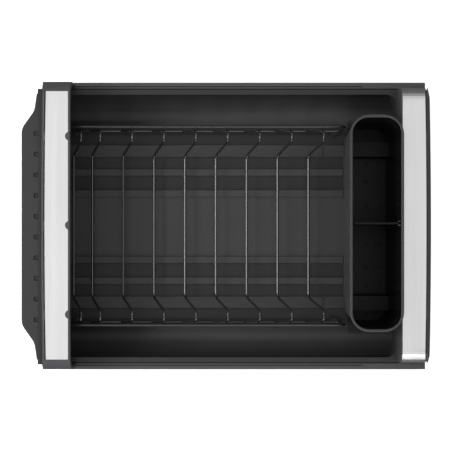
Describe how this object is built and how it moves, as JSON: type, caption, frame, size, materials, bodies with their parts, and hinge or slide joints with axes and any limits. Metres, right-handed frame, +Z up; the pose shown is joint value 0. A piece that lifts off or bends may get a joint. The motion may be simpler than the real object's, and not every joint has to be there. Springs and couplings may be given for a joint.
{
  "type": "dish drying rack",
  "caption": "Expandable dish drying rack with nested drip trays, arched ends with steel bands, a wire plate rack and a divided cutlery caddy.",
  "frame": {"origin": "middle of the rack's box, on the counter that it stands on", "axes": "+X along the tray towards the sliding end, +Y across it towards the rear, +Z up"},
  "size_m": [0.501, 0.337, 0.1295],
  "materials": {
    "tray_plastic": "fine-grained charcoal moulded plastic",
    "caddy_plastic": "smooth black moulded plastic",
    "brushed_band": "fine brushed along the band",
    "wire_coating": "satin black coated steel wire",
    "foot_rubber": "matte black rubber",
    "screw_steel": "zinc plated screws"
  },
  "bodies": {
    "base": {"outer_tray": "tray_plastic", "left_end_cap": "tray_plastic", "left_steel_band": "brushed_band", "base_feet": "foot_rubber", "left_cap_screws": "screw_steel"},
    "slide": {"inner_tray": "tray_plastic", "right_end_cap": "tray_plastic", "right_steel_band": "brushed_band", "slide_feet": "foot_rubber", "right_cap_screws": "screw_steel"},
    "rack": {"rack_loop_front": "wire_coating", "rack_loop_rear": "wire_coating", "rack_feet": "foot_rubber", "rack_end_divider": "wire_coating", "rack_divider_1": "wire_coating", "rack_divider_2": "wire_coating", "rack_divider_3": "wire_coating", "rack_divider_4": "wire_coating", "rack_divider_5": "wire_coating", "rack_divider_6": "wire_coating", "rack_divider_7": "wire_coating", "rack_divider_8": "wire_coating"},
    "caddy": {"caddy_body": "caddy_plastic"},
    "divider": {"caddy_divider": "caddy_plastic"}
  },
  "joints": [
    {"name": "tray_slide", "type": "slide", "parent": "base", "child": "slide", "axis": [1, 0, 0], "range_m": [0, 0.108]},
    {"name": "rack_tilt", "type": "hinge", "parent": "slide", "child": "rack", "pos_m": [-0.1835, 0, 0.0092], "axis": [0, -1, 0], "range_deg": [0, 14]},
    {"name": "caddy_lift", "type": "slide", "parent": "slide", "child": "caddy", "axis": [0, 0, 1], "range_m": [0, 0.13]},
    {"name": "divider_lift", "type": "slide", "parent": "caddy", "child": "divider", "axis": [0, 0, 1], "range_m": [0, 0.115]}
  ]
}
